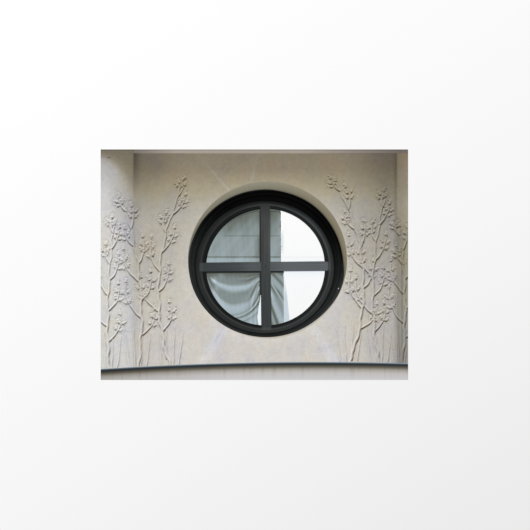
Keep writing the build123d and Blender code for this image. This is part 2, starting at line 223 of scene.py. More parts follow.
def limestone(tree, place, x, z):
    """Wall and piers in one, so that they meet without a step: each has its run of colours, and they are
    parted at the piers' edges. The stone's clouds, patches, grit and pits are laid over them, and last the
    carving's light and shade, where a piece carries it. A dark joint runs along the top of all."""
    depth = add(tree, "Math", HIGH.z, z, operation="SUBTRACT")
    stone = blended(tree, x, PIER_X - PIER_EDGE, PIER_X + PIER_EDGE,
                    left_pier_stone(tree, x, depth), wall_stone(tree, place, x, z))
    stone = blended(tree, x, RIGHT_PIER_X - PIER_EDGE, RIGHT_PIER_X + PIER_EDGE,
                    stone, right_pier_stone(tree, x, z))
    from_pier = add(tree, "Math", x, PIER_X, operation="SUBTRACT")
    # Painted shade in the inside corner beside the left pier, strongest at the top
    corner = within(tree, (from_pier, -0.0025, 0.0020), (from_pier, 0.0160, 0.0025))
    stone = shaded(tree, stone, corner, (z, 0.140, 0.214, -0.06, -0.48))
    stone = shaded(tree, stone, (depth, 0.0026, 0.0010), -0.45)

    # Lime has bloomed out of the two joints under the opening, 14 mm to either side, and two fine lines of
    # painted highlight lie above it, which pass beside its middle and fade upwards
    spoke = add(tree, "VectorMath", place, (OPENING[0] + OPENING[1])/2, operation="SUBTRACT")
    for heading, off, start, reach, whiteness in LIME_AND_HIGHLIGHTS:
        east, north = math.cos(math.radians(heading)), math.sin(math.radians(heading))
        out = add(tree, "VectorMath", spoke, (east, 0.0, north), out=1, operation="DOT_PRODUCT")
        aside = add(tree, "VectorMath", spoke, (-north, 0.0, east), out=1, operation="DOT_PRODUCT")
        bloom_and_highlight = within(tree, (out, start, start + 0.020), (away(tree, aside, off), reach, 0.3*reach),
                       (z, 0.235, 0.165))
        stone = tinted(tree, stone, bloom_and_highlight, whiteness)

    # Clouds of 45 mm, warm and cool; patches of 25 and 9 mm, grit of 2.5 mm, and dark pits 3 mm wide
    clouds = add(tree, "TexNoise", sockets={"Vector": place, "Scale": 1/0.045, "Detail": 3.0})
    tint = add(tree, "ValToRGB", clouds, stops=((0.32, "#fffcf6"), (0.50, "#fdfdfd"), (0.68, "#f5f6ff")))
    stone = add(tree, "VectorMath", stone, tint, operation="MULTIPLY")
    for size, share in ((0.025, 0.025), (0.009, 0.050), (0.0025, 0.055)):
        stone = uneven(tree, stone, place, size, share)
    pits = add(tree, "TexNoise", sockets={"Vector": place, "Scale": 1/0.0042, "Detail": 1.0})
    stone = shaded(tree, stone, (pits, 0.66, 0.78), -0.16)

    carving = add(tree, "Attribute", out=2, attribute_name="carving")
    stone = tinted(tree, stone, (carving, 0.0, -1.0), (0.17, 0.13, 0.09))
    return shaded(tree, stone, (carving, 0.0, 1.0), 0.50)


stone = finish("printed_limestone", limestone, *MATT_INK)
dress(stone, "print_wall", "print_wall_shade", "print_left_pier", "print_pier_shade", "print_right_pier",
      "print_pier_line")


def moulding(tree, place, x, z):
    """The flat moulding along the wall's head: a thin dark joint on top, a light face and its shaded foot."""
    depth = add(tree, "Math", HIGH.z, z, operation="SUBTRACT")
    face = add(tree, "ValToRGB", depth, stops=((0.0, "#8d8880"), (0.0016, "#928b84"), (0.0030, "#a2988f"),
                                               (0.0042, "#a79d95"), (0.0062, "#a69b92"), (0.0072, "#9c9287")))
    face = shaded(tree, face, (x, PIER_X + 0.085, PIER_X), -0.52)
    face = shaded(tree, face, (x, 0.10, RIGHT_PIER_X), -0.58)
    return uneven(tree, face, place, 0.003, 0.04)


dress(finish("printed_moulding", moulding, *MATT_INK), "print_head_band")

# Ledge and plinth
# A shallow arched ledge of dark lead, with a thin sky-lit top edge, casts its soft shade on the plinth of
# pale grey stone below it. Rain has drawn brownish streaks down the plinth from the ledge.

LEDGE_LEFT, LEDGE_MIDDLE, LEDGE_RIGHT = 0.0219, 0.0348, 0.0333
LEDGE_SLOPE = (LEDGE_RIGHT - LEDGE_LEFT)/2
LEDGE_BEND = (LEDGE_LEFT + LEDGE_RIGHT)/2 - LEDGE_MIDDLE


def ledge_top(x):
    """Height of the ledge's top edge at a place across the sheet: a parabola through its ends and middle."""
    share = x/HIGH.x
    return LOW.z + LEDGE_MIDDLE + LEDGE_SLOPE*share + LEDGE_BEND*share*share


def lead_and_plinth(tree, place, x, z):
    """Lead, shade and plinth as one run of colours, by the drop from the ledge's top edge."""
    share = add(tree, "Math", x, HIGH.x, operation="DIVIDE")
    slope = add(tree, "Math", share, LEDGE_BEND, LEDGE_SLOPE, operation="MULTIPLY_ADD")
    top = add(tree, "Math", share, slope, LOW.z + LEDGE_MIDDLE, operation="MULTIPLY_ADD")
    drop = add(tree, "Math", top, z, operation="SUBTRACT")
    face = add(tree, "ValToRGB", drop, stops=(
        (0.0, "#9aa9b3"), (0.0012, "#76858f"), (0.0024, "#3c454c"), (0.0040, "#252c32"), (0.0055, "#343738"),
        (0.0070, "#46443c"), (0.0085, "#585448"), (0.0104, "#6e695e"), (0.0124, "#89847b"),
        (0.0144, "#9f9a93"), (0.0180, "#b3afab"), (0.0225, "#c1bebd"), (0.0340, "#cac9cb")))
    face = shaded(tree, face, (x, LOW.x + 0.26, LOW.x), -0.22)
    # Streaks 11 mm wide with finer ones in them, 110 mm long, strongest near the ledge
    down = add(tree, "Mapping", place, sockets={3: (90.0, 1.0, 9.0)})
    streaks = add(tree, "TexNoise", sockets={"Vector": down, "Scale": 1.0, "Detail": 3.0})
    stain = within(tree, (streaks, 0.50, 0.70), (drop, 0.036, 0.010), (drop, 0.006, 0.012))
    return tinted(tree, face, stain, (0.80, 0.76, 0.72))


dress(finish("printed_lead_and_plinth", lead_and_plinth, *MATT_INK), "print_ledge_line", "print_ledge_shade",
      "print_plinth")

# Carved sprays
# Leafy sprays carved in low relief out of the same limestone, at both sides of the window, with blades of
# grass at their feet. They are printed flat: their light and shade, lit from above, is in the ink.

# Lengths are millimetres, but for the coat's front and depth, which are metres. Each stem has its distance
# from the sheet's edge, its heading in degrees, its length and its turn in degrees
GRID = 0.8
GROUND = (-212.0, 214.0)
CARVED_FRONT, CARVED_DEPTH = -0.000262, 0.000030
LIGHT = (-0.22, 0.97)
SHADOW_DROP = 0.84
ROUGHNESS = 1.6
WINDOW_MARGIN = 2.0
GOLDEN = 0.618
SUNK = 3.6
TWIGS, BLADES = 8, 4
LEAF = (13.5, 3.0)
LEFT_STEMS = ((16.0, 93.0, 285.0, -10.0), (74.0, 82.0, 330.0, 26.0), (138.0, 108.0, 365.0, -44.0))
RIGHT_STEMS = ((12.0, 84.0, 270.0, 14.0), (58.0, 100.0, 330.0, -24.0), (118.0, 68.0, 370.0, 52.0))


def ramp(values, start, length):
    """Shares that run from nothing at a start to the whole a length further on."""
    return np.clip((values - start)/length, 0, 1)


def bell(values, middle, width):
    """Shares that fall off from the whole at a middle: e to the minus square of the distance in widths."""
    return np.exp(-((values - middle)/width)**2)


def arc(x, z, heading, length, turn, sway, phase):
    """Points a millimetre apart on a circular arc, swayed to and fro by two waves, 61 and 23 mm long."""
    run = np.linspace(0.0, length, int(length) + 1)
    start, end = math.radians(heading), np.radians(heading + turn*run/length)
    radius = length/math.radians(turn)
    waves = np.sin(run/61*2*math.pi + phase) + 0.35*np.sin(run/23*2*math.pi + 2*phase)
    aside = sway*np.minimum(1, run/14)*waves
    return (x + radius*(np.sin(end) - math.sin(start)) - aside*np.sin(end),
            z - radius*(np.cos(end) - math.cos(start)) + aside*np.cos(end), np.degrees(end))


def leaf(x, z, heading, length, half_width):
    """Midrib and half widths of a leaf, which starts 1.5 mm from its twig: a pointed oval with two pairs of
    shallow lobes."""
    run = np.linspace(0.0, 1.0, int(length*1.6))
    away = 1.5 + length*run
    angle = math.radians(heading)
    width = half_width*np.sin(math.pi*run**0.9)**0.8*(1 + 0.16*np.cos(run*5*math.pi))
    return x + away*math.cos(angle), z + away*math.sin(angle), width + 0.05


def spray(side, edge, stems):
    """All strokes of one side, each with its kind, its line and its half widths along it, in millimetres."""
    strokes = []
    for order, (away, heading, length, turn) in enumerate(stems):
        foot = edge*1000 - side*away
        base = 1000*ledge_top(foot/1000) - SUNK
        x, z, headings = arc(foot, base, heading, length, turn, 1.5, order*2.1)
        strokes.append(("stems", x, z, np.linspace(3.4, 1.6, len(x))))
        strokes.append(("leaves", *leaf(x[-1], z[-1], headings[-1], *LEAF)))
        for place in range(TWIGS):
            climb, turned = place/(TWIGS - 1), 1 if place % 2 else -1
            at = int((0.20 + 0.76*climb)*(len(x) - 1))
            long = (78.0 - 50.0*climb)*(1 + 0.28*(2*(place*GOLDEN % 1) - 1))
            tx, tz, aim = arc(x[at], z[at], headings[at] + turned*(60.0 - 24.0*climb), long,
                              -turned*(64.0 - 22.0*climb), 0.9, place + order)
            strokes.append(("stems", tx, tz, np.linspace(2.5, 1.3, len(tx))))
            for share, lean in ((1.0, 0.0), (0.74, 38.0), (0.74, -44.0), (0.48, -38.0), (0.48, 44.0)):
                at = int(share*(len(tx) - 1))
                strokes.append(("leaves", *leaf(tx[at], tz[at], aim[at] + lean, *LEAF)))
        for place in range(BLADES):
            out = place - (BLADES - 1)/2
            root = foot + out*10.0
            gx, gz, _ = arc(root, 1000*ledge_top(root/1000) - SUNK, 90 - out*9.0, 84.0*(1 - abs(out)/8),
                            out*8.0, 0.6, place + order)
            strokes.append(("grass", gx, gz, np.linspace(1.9, 0.8, len(gx))))
    return strokes


def spread(values):
    """Each value's mean with its eight neighbours."""
    return sum(np.roll(values, (row, column), (0, 1)) for row in (-1, 0, 1) for column in (-1, 0, 1))/9


def relief(strokes, across, up):
    """Heights of the carving on a grid, and how near each kind of stroke is. A stroke's section is a parabola
    1.3 times as high as its half width, or 0.8 times for a leaf, which has a groove along its midrib. Where
    strokes cross, the highest wins. Round the leaves the chisel left the ground rough."""
    height = np.zeros(across.shape)
    near = {kind: np.zeros(across.shape) for kind in ("stems", "leaves", "grass")}
    for kind, x, z, half in strokes:
        reach = half.max() + 4
        rows = slice(*np.searchsorted(up[:, 0], (z.min() - reach, z.max() + reach)))
        columns = slice(*np.searchsorted(across[0], (x.min() - reach, x.max() + reach)))
        if rows.start == rows.stop or columns.start == columns.stop:
            continue
        gaps = np.hypot(across[rows, columns][..., None] - x, up[rows, columns][..., None] - z)
        nearest = gaps.argmin(-1)
        gap, width = gaps.min(-1), half[nearest]
        raised = (0.8 if kind == "leaves" else 1.3)*width*np.clip(1 - (gap/width)**2, 0, None)
        if kind == "leaves":
            raised = raised - 0.3*width*bell(gap, 0, 0.6)*(gap < width)
        height[rows, columns] = np.maximum(height[rows, columns], raised)
        near[kind][rows, columns] = np.maximum(near[kind][rows, columns], 1 - gap/(width + 4))
    bumps = spread(spread(np.random.default_rng(12).normal(0.0, 1.0, across.shape)))
    return height + ROUGHNESS*bumps*np.clip(near["leaves"]*1.6, 0, 1), near


def light_and_shade(height):
    """Light and shade of a relief: the slope towards the light, less the shadow of what stands between a
    place and the light, which is 40 degrees above the stone, and less a painted shade in its hollows;
    softened over three cells."""
    slope_z, slope_x = np.gradient(height, GRID)
    tone = -(slope_x*LIGHT[0] + slope_z*LIGHT[1])
    tone = np.where(tone < 0, np.tanh(1.5*tone), 0.8*np.tanh(tone))
    shadow = np.zeros(height.shape)
    for step in range(1, 5):
        rows, columns = round(LIGHT[1]*step), round(LIGHT[0]*step)
        screen = np.roll(height, (-rows, -columns), (0, 1)) - SHADOW_DROP*GRID*math.hypot(rows, columns)
        shadow = np.maximum(shadow, screen - height)
    tone = np.where(shadow > 0.05, np.minimum(tone, -np.clip(2.0*shadow, 0, 1)), tone)
    # Painted shade in the hollows: darker where the ground around a place stands higher than it
    level = spread(height)
    tone -= 0.55*np.clip(spread(level) - level, 0, 0.6)/0.6
    return np.clip(0.7*tone + 0.3*spread(tone), -1, 1)


def coat(name, across, up, cells, front, depth, **tones):
    """A coat of ink over the marked cells of a grid of places, in metres, closed at its back and edges."""
    used = np.zeros(across.shape, bool)
    for row in (0, 1):
        for column in (0, 1):
            used[row:used.shape[0] - 1 + row, column:used.shape[1] - 1 + column] |= cells
    number, total = np.cumsum(used).reshape(used.shape) - 1, int(used.sum())
    a, b, c, d = number[:-1, :-1], number[:-1, 1:], number[1:, 1:], number[1:, :-1]
    faces = [np.stack((a, b, c, d), -1)[cells], np.stack((d, c, b, a), -1)[cells] + total]
    bare = ~np.pad(cells, 1)
    for start, end, edge in ((a, b, bare[:-2, 1:-1]), (b, c, bare[1:-1, 2:]), (c, d, bare[2:, 1:-1]),
                             (d, a, bare[1:-1, :-2])):
        faces.append(np.stack((start, start + total, end + total, end), -1)[cells & edge])
    faces = np.concatenate(faces).astype(np.int32)
    x, z = across[used], up[used]
    corners = np.concatenate([np.stack((x, np.full(total, y), z), -1) for y in (front, front + depth)])
    mesh = bpy.data.meshes.new(name)
    mesh.vertices.add(len(corners))
    mesh.vertices.foreach_set("co", corners.ravel())
    mesh.loops.add(faces.size)
    mesh.loops.foreach_set("vertex_index", faces.ravel())
    mesh.polygons.add(len(faces))
    mesh.polygons.foreach_set("loop_start", np.arange(0, faces.size, 4, dtype=np.int32))
    mesh.update(calc_edges=True)
    for kind, tone in tones.items():
        carried = mesh.attributes.new(kind, "FLOAT", "POINT").data
        carried.foreach_set("value", np.tile(tone[used], 2).astype(np.float32))
    piece = bpy.data.objects.new(name, mesh)
    bpy.context.scene.collection.objects.link(piece)
    return piece


def carve(side, edge, stems, near_x, far_x):
    """The pieces of one side's spray, each with its share of the light and shade of the whole."""
    across, up = np.meshgrid(np.arange(near_x, far_x, GRID), np.arange(*GROUND, GRID))
    height, near = relief(spray(side, edge, stems), across, up)
    tone = light_and_shade(height)
    middle, half = (OPENING[0] + OPENING[1])*500, (OPENING[1] - OPENING[0])*500
    window = np.hypot((across - middle.x)/half.x, (up - middle.z)/half.z)
    tone *= ramp((window - 1)*half.x, 0, WINDOW_MARGIN)
    tone *= ramp(up, 1000*ledge_top(across/1000), 2)*ramp(HIGH.x*1000 - abs(across), 0, 1)
    shown = abs(tone) > 0.025
    shown = shown[:-1, :-1] | shown[:-1, 1:] | shown[1:, 1:] | shown[1:, :-1]
    on_film = abs(across) <= HIGH.x*1000
    shown &= on_film[:-1, :-1] & on_film[1:, 1:]
    owner = np.argmax(np.stack(list(near.values())), 0)[:-1, :-1]
    for number, kind in enumerate(near):
        name = ("left_" if side < 0 else "right_") + kind
        cells = shown & (owner == number)
        piece = coat(name, across/1000, up/1000, cells, CARVED_FRONT, CARVED_DEPTH, carving=tone)
        piece.data.materials.append(stone)
        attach(piece, "root")
        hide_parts("print_" + name)


carve(-1, LOW.x, LEFT_STEMS, -304.8, -60.0)
carve(1, HIGH.x, RIGHT_STEMS, 120.0, 304.81)

# Joints
# Fine mortar joints between the stone blocks, filled flush with blue-grey mortar. It is a little darker than
# the stone at both sides and below, where lime has bloomed out of it, and as light as the stone above.


def mortar(tree, place, x, z):
    """The limestone's colour, darker and bluer; less so to the right, and not above the window."""
    tint = add(tree, "ValToRGB", x, stops=((-0.20, "#dfe3ea"), (-0.05, "#e6e9f0"), (0.10, "#f6f8fc")))
    tint = blended(tree, z, 0.050, 0.090, tint, linear("#fdfdfd"))
    return add(tree, "VectorMath", limestone(tree, place, x, z), tint, operation="MULTIPLY")


dress(finish("printed_mortar", mortar, *MATT_INK), "print_joints")

# Reveal
# The round hole's side in the limestone, seen from a little below: shaded at its top and right, where it
# shows, and a mere edge at its left and foot.

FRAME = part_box("print_frame")


def from_frame(tree, x, z, ring):
    """Distance from the frame's middle, where its visible edge is at one: at the upper right, the stone
    stands up to 2 mm over the frame."""
    near = add(tree, "MapRange", away(tree, z, 0.055), 0.080, 0.015, 0.0, 0.0143,
               interpolation_type="SMOOTHSTEP")
    return add(tree, "Math", ring, within(tree, near, (x, 0.02, 0.06)), operation="ADD")


def reveal_side(tree, place, x, z, ring):
    """Shaded stone, from a dark line beside the frame to the lighter outer edge, browner to the right and a
    mere light edge low down."""
    side = add(tree, "ValToRGB", ring, stops=(
        (0.995, "#4a4840"), (1.010, "#6a675b"), (1.025, "#7b7869"), (1.055, "#84806f"), (1.100, "#8d8979"),
        (1.125, "#959080")))
    side = tinted(tree, side, (x, 0.03, 0.15), (0.98, 0.92, 0.84))
    side = blended(tree, z, -0.030, -0.085, side, linear("#bdb7ac"))
    return uneven(tree, side, place, 0.004, 0.05)


def reveal(tree, place, x, z):
    """The side, and a band of painted black shadow between it and the frame, at the upper left up to 2 mm
    wide and at the right, a little below the middle, up to 4 mm."""
    ring = from_frame(tree, x, z, from_ring(tree, place, *FRAME))
    right = within(tree, (away(tree, z, -0.045), 0.075, 0.010, 0.0, 0.025), (x, 0.02, 0.06))
    left = within(tree, (z, 0.055, 0.085, 0.0, 0.012), (x, 0.07, 0.03))
    reach = add(tree, "Math", add(tree, "Math", right, left, operation="MAXIMUM"), 0.997, operation="ADD")
    past = add(tree, "Math", ring, reach, operation="SUBTRACT")
    # bead: the colour of the painted black shadow line between the stone and the frame
    bead = add(tree, "ValToRGB", z, stops=((-0.03, "#232525"), (0.08, "#080808")))
    return blended(tree, past, 0.003, -0.003, reveal_side(tree, place, x, z, ring), bead)


dress(finish("printed_reveal", reveal, *MATT_INK), "print_reveal")

# Window frame, sash and rebate
# Rings of steel, rolled and welded, under a near-black lacquer: the outer frame in the reveal's shadow, the
# sash before it, lit from below, with a painted highlight on the thin lip along its inner edge, and the
# glass's black rebate.

SASH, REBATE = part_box("print_sash"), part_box("print_rebate")
PALE_SPOT = (0.1666, 0.0, -0.0471)
# The bars' crossing and half widths are millimetres; their lean and rise are shares of their length
BAR = (22.0, -3.7)
UPRIGHT_HALF, CROSS_HALF = 9.9, 8.75
BAR_LEAN, BAR_RISE = 0.0125, 0.0081


def brushed_round(tree, colour, ring, place, share):
    """A colour with fine streaks around a ring, where the lacquer was brushed on along it, and smears."""
    streaks = add(tree, "TexNoise", noise_dimensions="1D", sockets={"W": ring, "Scale": 150.0, "Detail": 2.0})
    streaks = add(tree, "MapRange", streaks, *NOISE_SPAN, 1 - share, 1 + share)
    colour = add(tree, "VectorMath", colour, streaks, operation="MULTIPLY")
    return uneven(tree, colour, place, 0.020, share/2)


def frame_lacquer(tree, place, x, z):
    """Black above, and dark grey below and at the sides, where some light reaches it, with thin lighter steps
    and painted shade in the gap round the sash; a small pale grey spot lies at the lower right."""
    ring = from_ring(tree, place, *FRAME)
    high = add(tree, "Math", x, 0.18, z, operation="MULTIPLY_ADD")
    high = add(tree, "Math", high, add(tree, "MapRange", ring, 0.945, 0.962, 0.0, 0.018), operation="ADD")
    outer_right = within(tree, (ring, 0.964, 0.976, 0.0, 0.045), (z, 0.0, 0.020), (x, 0.060, 0.120))
    high = add(tree, "Math", outer_right, high, operation="ADD")
    low_face = add(tree, "ValToRGB", ring, stops=(
        (0.86, "#1b1d1d"), (0.93, "#1f2121"), (0.950, "#272a2a"), (0.958, "#1c1e1e"), (0.968, "#232626"),
        (0.980, "#2d3030"), (0.990, "#2b2e2e"), (1.0, "#1c1e1e")))
    top_face = add(tree, "ValToRGB", ring, stops=(
        (0.86, "#090909"), (0.90, "#060606"), (0.930, "#010101"), (0.950, "#0b0b0a"), (0.962, "#030303"),
        (1.0, "#050505")))
    height = add(tree, "MapRange", high, -0.040, 0.110, interpolation_type="SMOOTHSTEP")
    face = add(tree, "Mix", out=2, data_type="RGBA", sockets={0: height, 6: low_face, 7: top_face})
    # Painted shade along the frame's foot, next to the stone
    face = shaded(tree, face, (ring, 0.955, 0.968), (z, -0.128, -0.138, 0.0, -0.38))
    # Painted shade in the gap round the sash
    gap = from_ring(tree, place, *SASH)
    face = brushed_round(tree, shaded(tree, face, (gap, 1.035, 1.012), -0.45), ring, place, 0.25)
    # A small pale grey spot on the frame at the lower right
    spot_distance = add(tree, "VectorMath", place, PALE_SPOT, operation="SUBTRACT")
    spot_distance = add(tree, "VectorMath", spot_distance, (1.0, 0.0, 1.0), operation="MULTIPLY")
    spot_distance = add(tree, "VectorMath", spot_distance, out=1, operation="LENGTH")
    face = blended(tree, spot_distance, 0.0014, 0.0005, face, linear("#c4c6ca"))
    edge = from_frame(tree, x, z, ring)
    return blended(tree, edge, 0.997, 1.003, face, reveal_side(tree, place, x, z, edge))


def from_bars(tree, x, z):
    """How far a place is to the right of the upright bar's middle line, which leans, and above the cross
    bar's, which rises; and how far it is inside the edges of each."""
    lean = add(tree, "Math", z, BAR_LEAN, -BAR[0]/1000, operation="MULTIPLY_ADD")
    rise = add(tree, "Math", x, -BAR_RISE, -BAR[1]/1000, operation="MULTIPLY_ADD")
    offs = [add(tree, "Math", *pair, operation="ADD") for pair in ((x, lean), (z, rise))]
    return offs + [add(tree, "Math", half/1000, away(tree, off, 0.0), operation="SUBTRACT")
                   for off, half in zip(offs, (UPRIGHT_HALF, CROSS_HALF))]


def sash_lacquer(tree, place, x, z):
    """A painted highlight on the lip near the inner edge, and a grey face that falls off outwards, in four
    quarters of painted light and shade: dark above to the left, darker yet at the very top, and lightest
    below to the right. It is as light as the bars where they are welded to it."""
    # The lip's oval is a little narrower than the sash's: 1.7 mm at the left and 0.9 mm at the right
    ring = from_ring(tree, place, SASH[0] + Vector((0.0017, 0, 0)), SASH[1] - Vector((0.0009, 0, 0)))
    quarters = [add(tree, "ValToRGB", ring, stops=stops) for stops in (
        ((0.895, "#202222"), (0.917, "#1e2020"), (0.929, "#232525"), (0.942, "#2e3131"), (0.951, "#2a2c2c"),
         (0.964, "#232525"), (0.982, "#212323"), (0.997, "#1e2020"), (1.005, "#1a1c1c")),
        ((0.895, "#2e3030"), (0.915, "#262828"), (0.926, "#272929"), (0.943, "#464a4a"), (0.957, "#383b3b"),
         (0.974, "#2d3030"), (0.989, "#252828"), (1.002, "#131515")),
        ((0.895, "#1e2020"), (0.915, "#181a1a"), (0.926, "#272929"), (0.935, "#3a3c3c"), (0.944, "#353737"),
         (0.953, "#2e3030"), (0.963, "#272929"), (0.975, "#2a2c2c"), (0.996, "#282a2a"), (1.005, "#242626")),
        ((0.895, "#282a2a"), (0.913, "#202222"), (0.925, "#202323"), (0.933, "#2a2d2d"), (0.944, "#3f4242"),
         (0.953, "#3b3e3e"), (0.965, "#303232"), (0.993, "#313333"), (1.002, "#303232")))]
    above, below = [blended(tree, x, -0.05, 0.05, *pair) for pair in (quarters[:2], quarters[2:])]
    above = shaded(tree, above, (z, 0.085, 0.125), (ring, 0.937, 0.970, -0.10, -0.55))
    above = shaded(tree, above, (x, 0.020, 0.040), (z, 0.095, 0.115, 0.0, -0.14))
    face = blended(tree, z, 0.05, -0.04, above, below)
    inside = add(tree, "Math", *from_bars(tree, x, z)[2:], operation="MAXIMUM")
    weld = within(tree, (inside, -0.0005, 0.0015), (ring, 0.972, 0.948))
    light = add(tree, "ValToRGB", z, stops=((0.090, "#434546"), (0.125, "#2d2f2f")))
    face = add(tree, "Mix", out=2, data_type="RGBA", sockets={0: weld, 6: face, 7: light})
    return brushed_round(tree, face, ring, place, 0.10)


def rebate_lacquer(tree, place, x, z):
    """Nearly black, with a faint bead along its middle. In the upper half, the glass shows past the rebate's
    inner edge, so a millimetre or two of it are in the colours of the curtain and of the sky."""
    ring = from_ring(tree, place, *REBATE)
    face = add(tree, "ValToRGB", ring, stops=((0.94, "#141616"), (0.966, "#141616"), (0.975, "#212424"),
                                              (0.985, "#181a1a"), (1.0, "#151717")))
    behind = add(tree, "ValToRGB", z, stops=((-0.060, "#a9b8bf"), (-0.040, "#939f9f"), (0.0, "#939f9f"),
                                             (0.057, "#7b8481"), (0.110, "#5d645e")))
    behind = blended(tree, x, 0.0515, 0.0525, behind, linear("#f6f7f7"))
    past = add(tree, "MapRange", x, -0.02, 0.04, 0.941, 0.953)
    past = add(tree, "MapRange", z, 0.0, 0.020, 0.9465, past)
    past = add(tree, "Math", ring, past, operation="SUBTRACT")
    face = shaded(tree, face, (x, -0.05, 0.14, -0.15, 0.40), 1.0)
    face = brushed_round(tree, face, ring, place, 0.15)
    return blended(tree, past, 0.003, -0.003, face, behind)


dress(finish("printed_frame_lacquer", frame_lacquer, 0.5, 0.01), "print_frame")
dress(finish("printed_sash_lacquer", sash_lacquer, 0.5, 0.03), "print_sash")
dress(finish("printed_rebate_lacquer", rebate_lacquer, 0.5, 0.02), "print_rebate")

# Sky in the panes
# The panes are clear float glass, bedded in the rebate. They mirror a white sky, which is a little bluer low
# in each pane, wherever no curtain hangs behind them.

OVER_RISE = 0.011


def mirrored_sky(tree, place, x, z):
    """White, with a breath of blue above the cross bar and under it, and faint clouds of 40 mm. It is veiled
    beside the curtain's edge, bluer in the gap at the left, and grey just over the cross bar."""
    sky = add(tree, "ValToRGB", z, stops=(
        (-0.115, "#f4f4f5"), (-0.030, "#f5f6f7"), (-0.018, "#f0f3f7"), (-0.012, "#e9eef4"),
        (-0.004, "#e9f0f6"), (0.004, "#eff4f7"), (0.012, "#f3f5f7"), (0.0150, "#edeff0"),
        (0.018, "#f5f6f7"), (0.060, "#f8f8f8")))
    sky = uneven(tree, sky, place, 0.040, 0.006)
    veil = within(tree, (x, 0.0595, 0.0560), (z, 0.070, 0.055), (z, 0.018, 0.034))
    sky = tinted(tree, sky, veil, (0.76, 0.83, 0.85))
    sky = tinted(tree, sky, (x, 0.024, 0.018), (0.90, 0.94, 0.985))
    over = add(tree, "Math", x, -OVER_RISE, -0.0055, operation="MULTIPLY_ADD")
    over = within(tree, (add(tree, "Math", over, z, operation="ADD"), 0.0003, -0.0003), (z, -0.005, 0.0))
    return add(tree, "Mix", out=2, data_type="RGBA", sockets={0: over, 6: sky, 7: linear("#5b5e61")})


dress(finish("printed_sky", mirrored_sky, 0.4, 0.1), "print_sky")

# Curtain
# A plain grey-green curtain close behind the glass. Above the cross bar it hangs flat, with two sewn tucks;
# below it is gathered at the upright bar, and falls from there in swags to the left and folds to the right.

# Lengths are millimetres, but for the coat's front and depth, which are metres
HUNG_FRONT, HUNG_DEPTH = -0.000292, 0.000032
GLASS_MIDDLE = (22.0, -6.2)
GLASS_HALF = (117.6, 113.9)
GLASS_FOOT, GLASS_HEAD = GLASS_MIDDLE[1] - GLASS_HALF[1], GLASS_MIDDLE[1] + GLASS_HALF[1]
TUCKS, HEM = (57.3, 15.6), 13.6
LINE_LEFT, LINE_RIGHT, LINE_BELOW, LINE_ABOVE, LINE_EDGE = 9.8, 33.2, -16.6, 5.9, 0.8
UNDER_BAR, GAP_TOP = -13.5, -59.7
SELVAGE, LINING_EDGE = 30.3, 36.8
GATHER = (9.9, -16.4)
SWAG_SPAN = 106.0
TWIST = (-45.0, -45.0)
FAN = (-4.0, 23.0)
SWAG_TONES = ((0, 0.050, 0.056, 0.062, 0.068, 0.078, 0.086, 0.095, 0.104, 0.130, 0.145, 0.154, 0.166, 0.240),
              (0.40, 0.42, 0.45, 0.60, 0.75, 0.74, 0.64, 0.48, 0.41, 0.42, 0.44, 0.64, 0.73, 0.62))
TURN_TONES = ((44, 50, 53, 54.4, 55.6, 57, 58.4, 59.6, 61, 62.4, 64, 67, 70, 71.2, 72.6, 76, 90),
              (0.66, 0.62, 0.48, 0.20, 0.30, 0.66, 0.84, 0.46, 0.22, 0.28, 0.60, 0.72, 0.60, 0.42, 0.62, 0.68,
               0.72))
PLEAT_TONES = ((-4.4, -3.95, -3.66, -3.32, -3.05, -2.74, -2.57, -2.43, -2.28, -2.13, -1.96, -1.78, -1.55,
                -1.2, -0.8),
               (0.0, -0.20, 0.10, -0.26, 0.10, -0.16, 0.14, -0.24, 0.14, -0.24, 0.14, -0.24, 0.12,
                -0.20, 0.0))
FAN_TONES = ((34, 38, 41, 44, 46, 49, 50.5, 53.5, 55.2, 56.3, 58, 59, 60.3, 62.4, 64.4, 66, 68.3, 69.8, 70.5,
              72.2, 73.2, 74.5, 80),
             (0.26, 0.50, 0.56, 0.44, 0.26, 0.54, 0.62, 0.58, 0.62, 0.58, 0.62, 0.40, 0.22, 0.48, 0.84, 0.78,
              0.72, 0.24, 0.14, 0.54, 0.56, 0.24, 0.20),
             (0.24, 0.42, 0.42, 0.34, 0.18, 0.50, 0.60, 0.58, 0.34, 0.16, 0.82, 0.38, 0.22, 0.48, 0.84, 0.78,
              0.72, 0.24, 0.14, 0.54, 0.56, 0.24, 0.20),
             (0.24, 0.42, 0.42, 0.34, 0.18, 0.50, 0.60, 0.58, 0.38, 0.36, 0.62, 0.48, 0.44, 0.45, 0.58, 0.68,
              0.66, 0.24, 0.16, 0.48, 0.50, 0.24, 0.20))
FAN_HEIGHTS = (-37.0, -53.0, -70.0)


def ripple(places, *waves):
    """Waves added up, each given by its length, its height and where it starts."""
    return sum(high*np.sin(2*math.pi*places/length + start) for length, high, start in waves)


def from_middle(x, z):
    """Distance from the glass's middle, where its edge is at one."""
    return np.hypot((x - GLASS_MIDDLE[0])/GLASS_HALF[0], (z - GLASS_MIDDLE[1])/GLASS_HALF[1])


